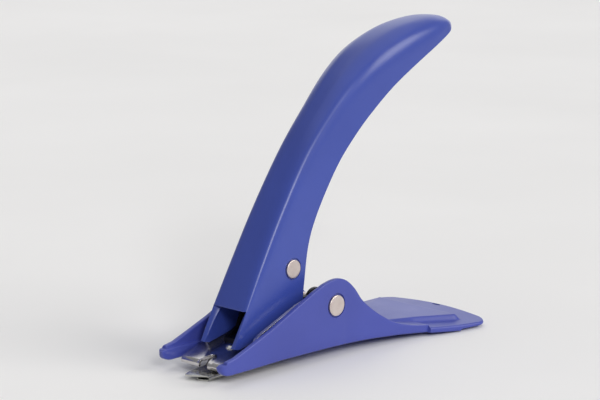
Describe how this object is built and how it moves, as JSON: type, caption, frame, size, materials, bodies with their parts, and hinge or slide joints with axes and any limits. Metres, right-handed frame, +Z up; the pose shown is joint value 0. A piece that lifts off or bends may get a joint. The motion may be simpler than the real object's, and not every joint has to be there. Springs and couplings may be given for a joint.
{
  "type": "staple remover",
  "caption": "Lever staple remover: a forked plastic base with a broad rear leaf, and a curved handle on a sprung steel jaw with a pointed lifting blade.",
  "frame": {"origin": "on the table under the middle of the object's length and width", "axes": "+X from the nose to the leaf, +Y across, +Z up from the table"},
  "size_m": [0.1226, 0.0488, 0.1065],
  "materials": {
    "blue_plastic_base": "satin moulded blue",
    "blue_plastic_handle": "satin moulded blue",
    "nickel_rivet": "satin nickel plate",
    "small_rivet": "bright nickel plate",
    "dark_washer": "dull zinc plate",
    "spring_wire": "drawn spring wire",
    "sleeve_steel": "turned steel",
    "bracket_steel": "rolled sheet, plated",
    "jaw_nickel": "bright nickel plate",
    "blade_nickel": "bright nickel plate"
  },
  "bodies": {
    "base_body": {"base": "blue_plastic_base", "pivot_rivet": "nickel_rivet", "pivot_washers": "dark_washer", "return_springs": "spring_wire"},
    "lever_body": {"handle": "blue_plastic_handle", "handle_rivet": "nickel_rivet", "handle_spacer": "sleeve_steel", "core_bracket": "bracket_steel", "jaw_frame": "jaw_nickel", "lifting_blade": "blade_nickel", "blade_rivets": "small_rivet", "pivot_sleeves": "sleeve_steel"}
  },
  "joints": [
    {"name": "lever_pivot", "type": "hinge", "parent": "base_body", "child": "lever_body", "pos_m": [-0.0093, 0, 0.0176], "axis": [0, 1, 0], "range_deg": [0, 32], "stiffness_Nm_per_rad": 0.12, "springref_deg": -57.3, "deforming": ["return_springs"]}
  ]
}
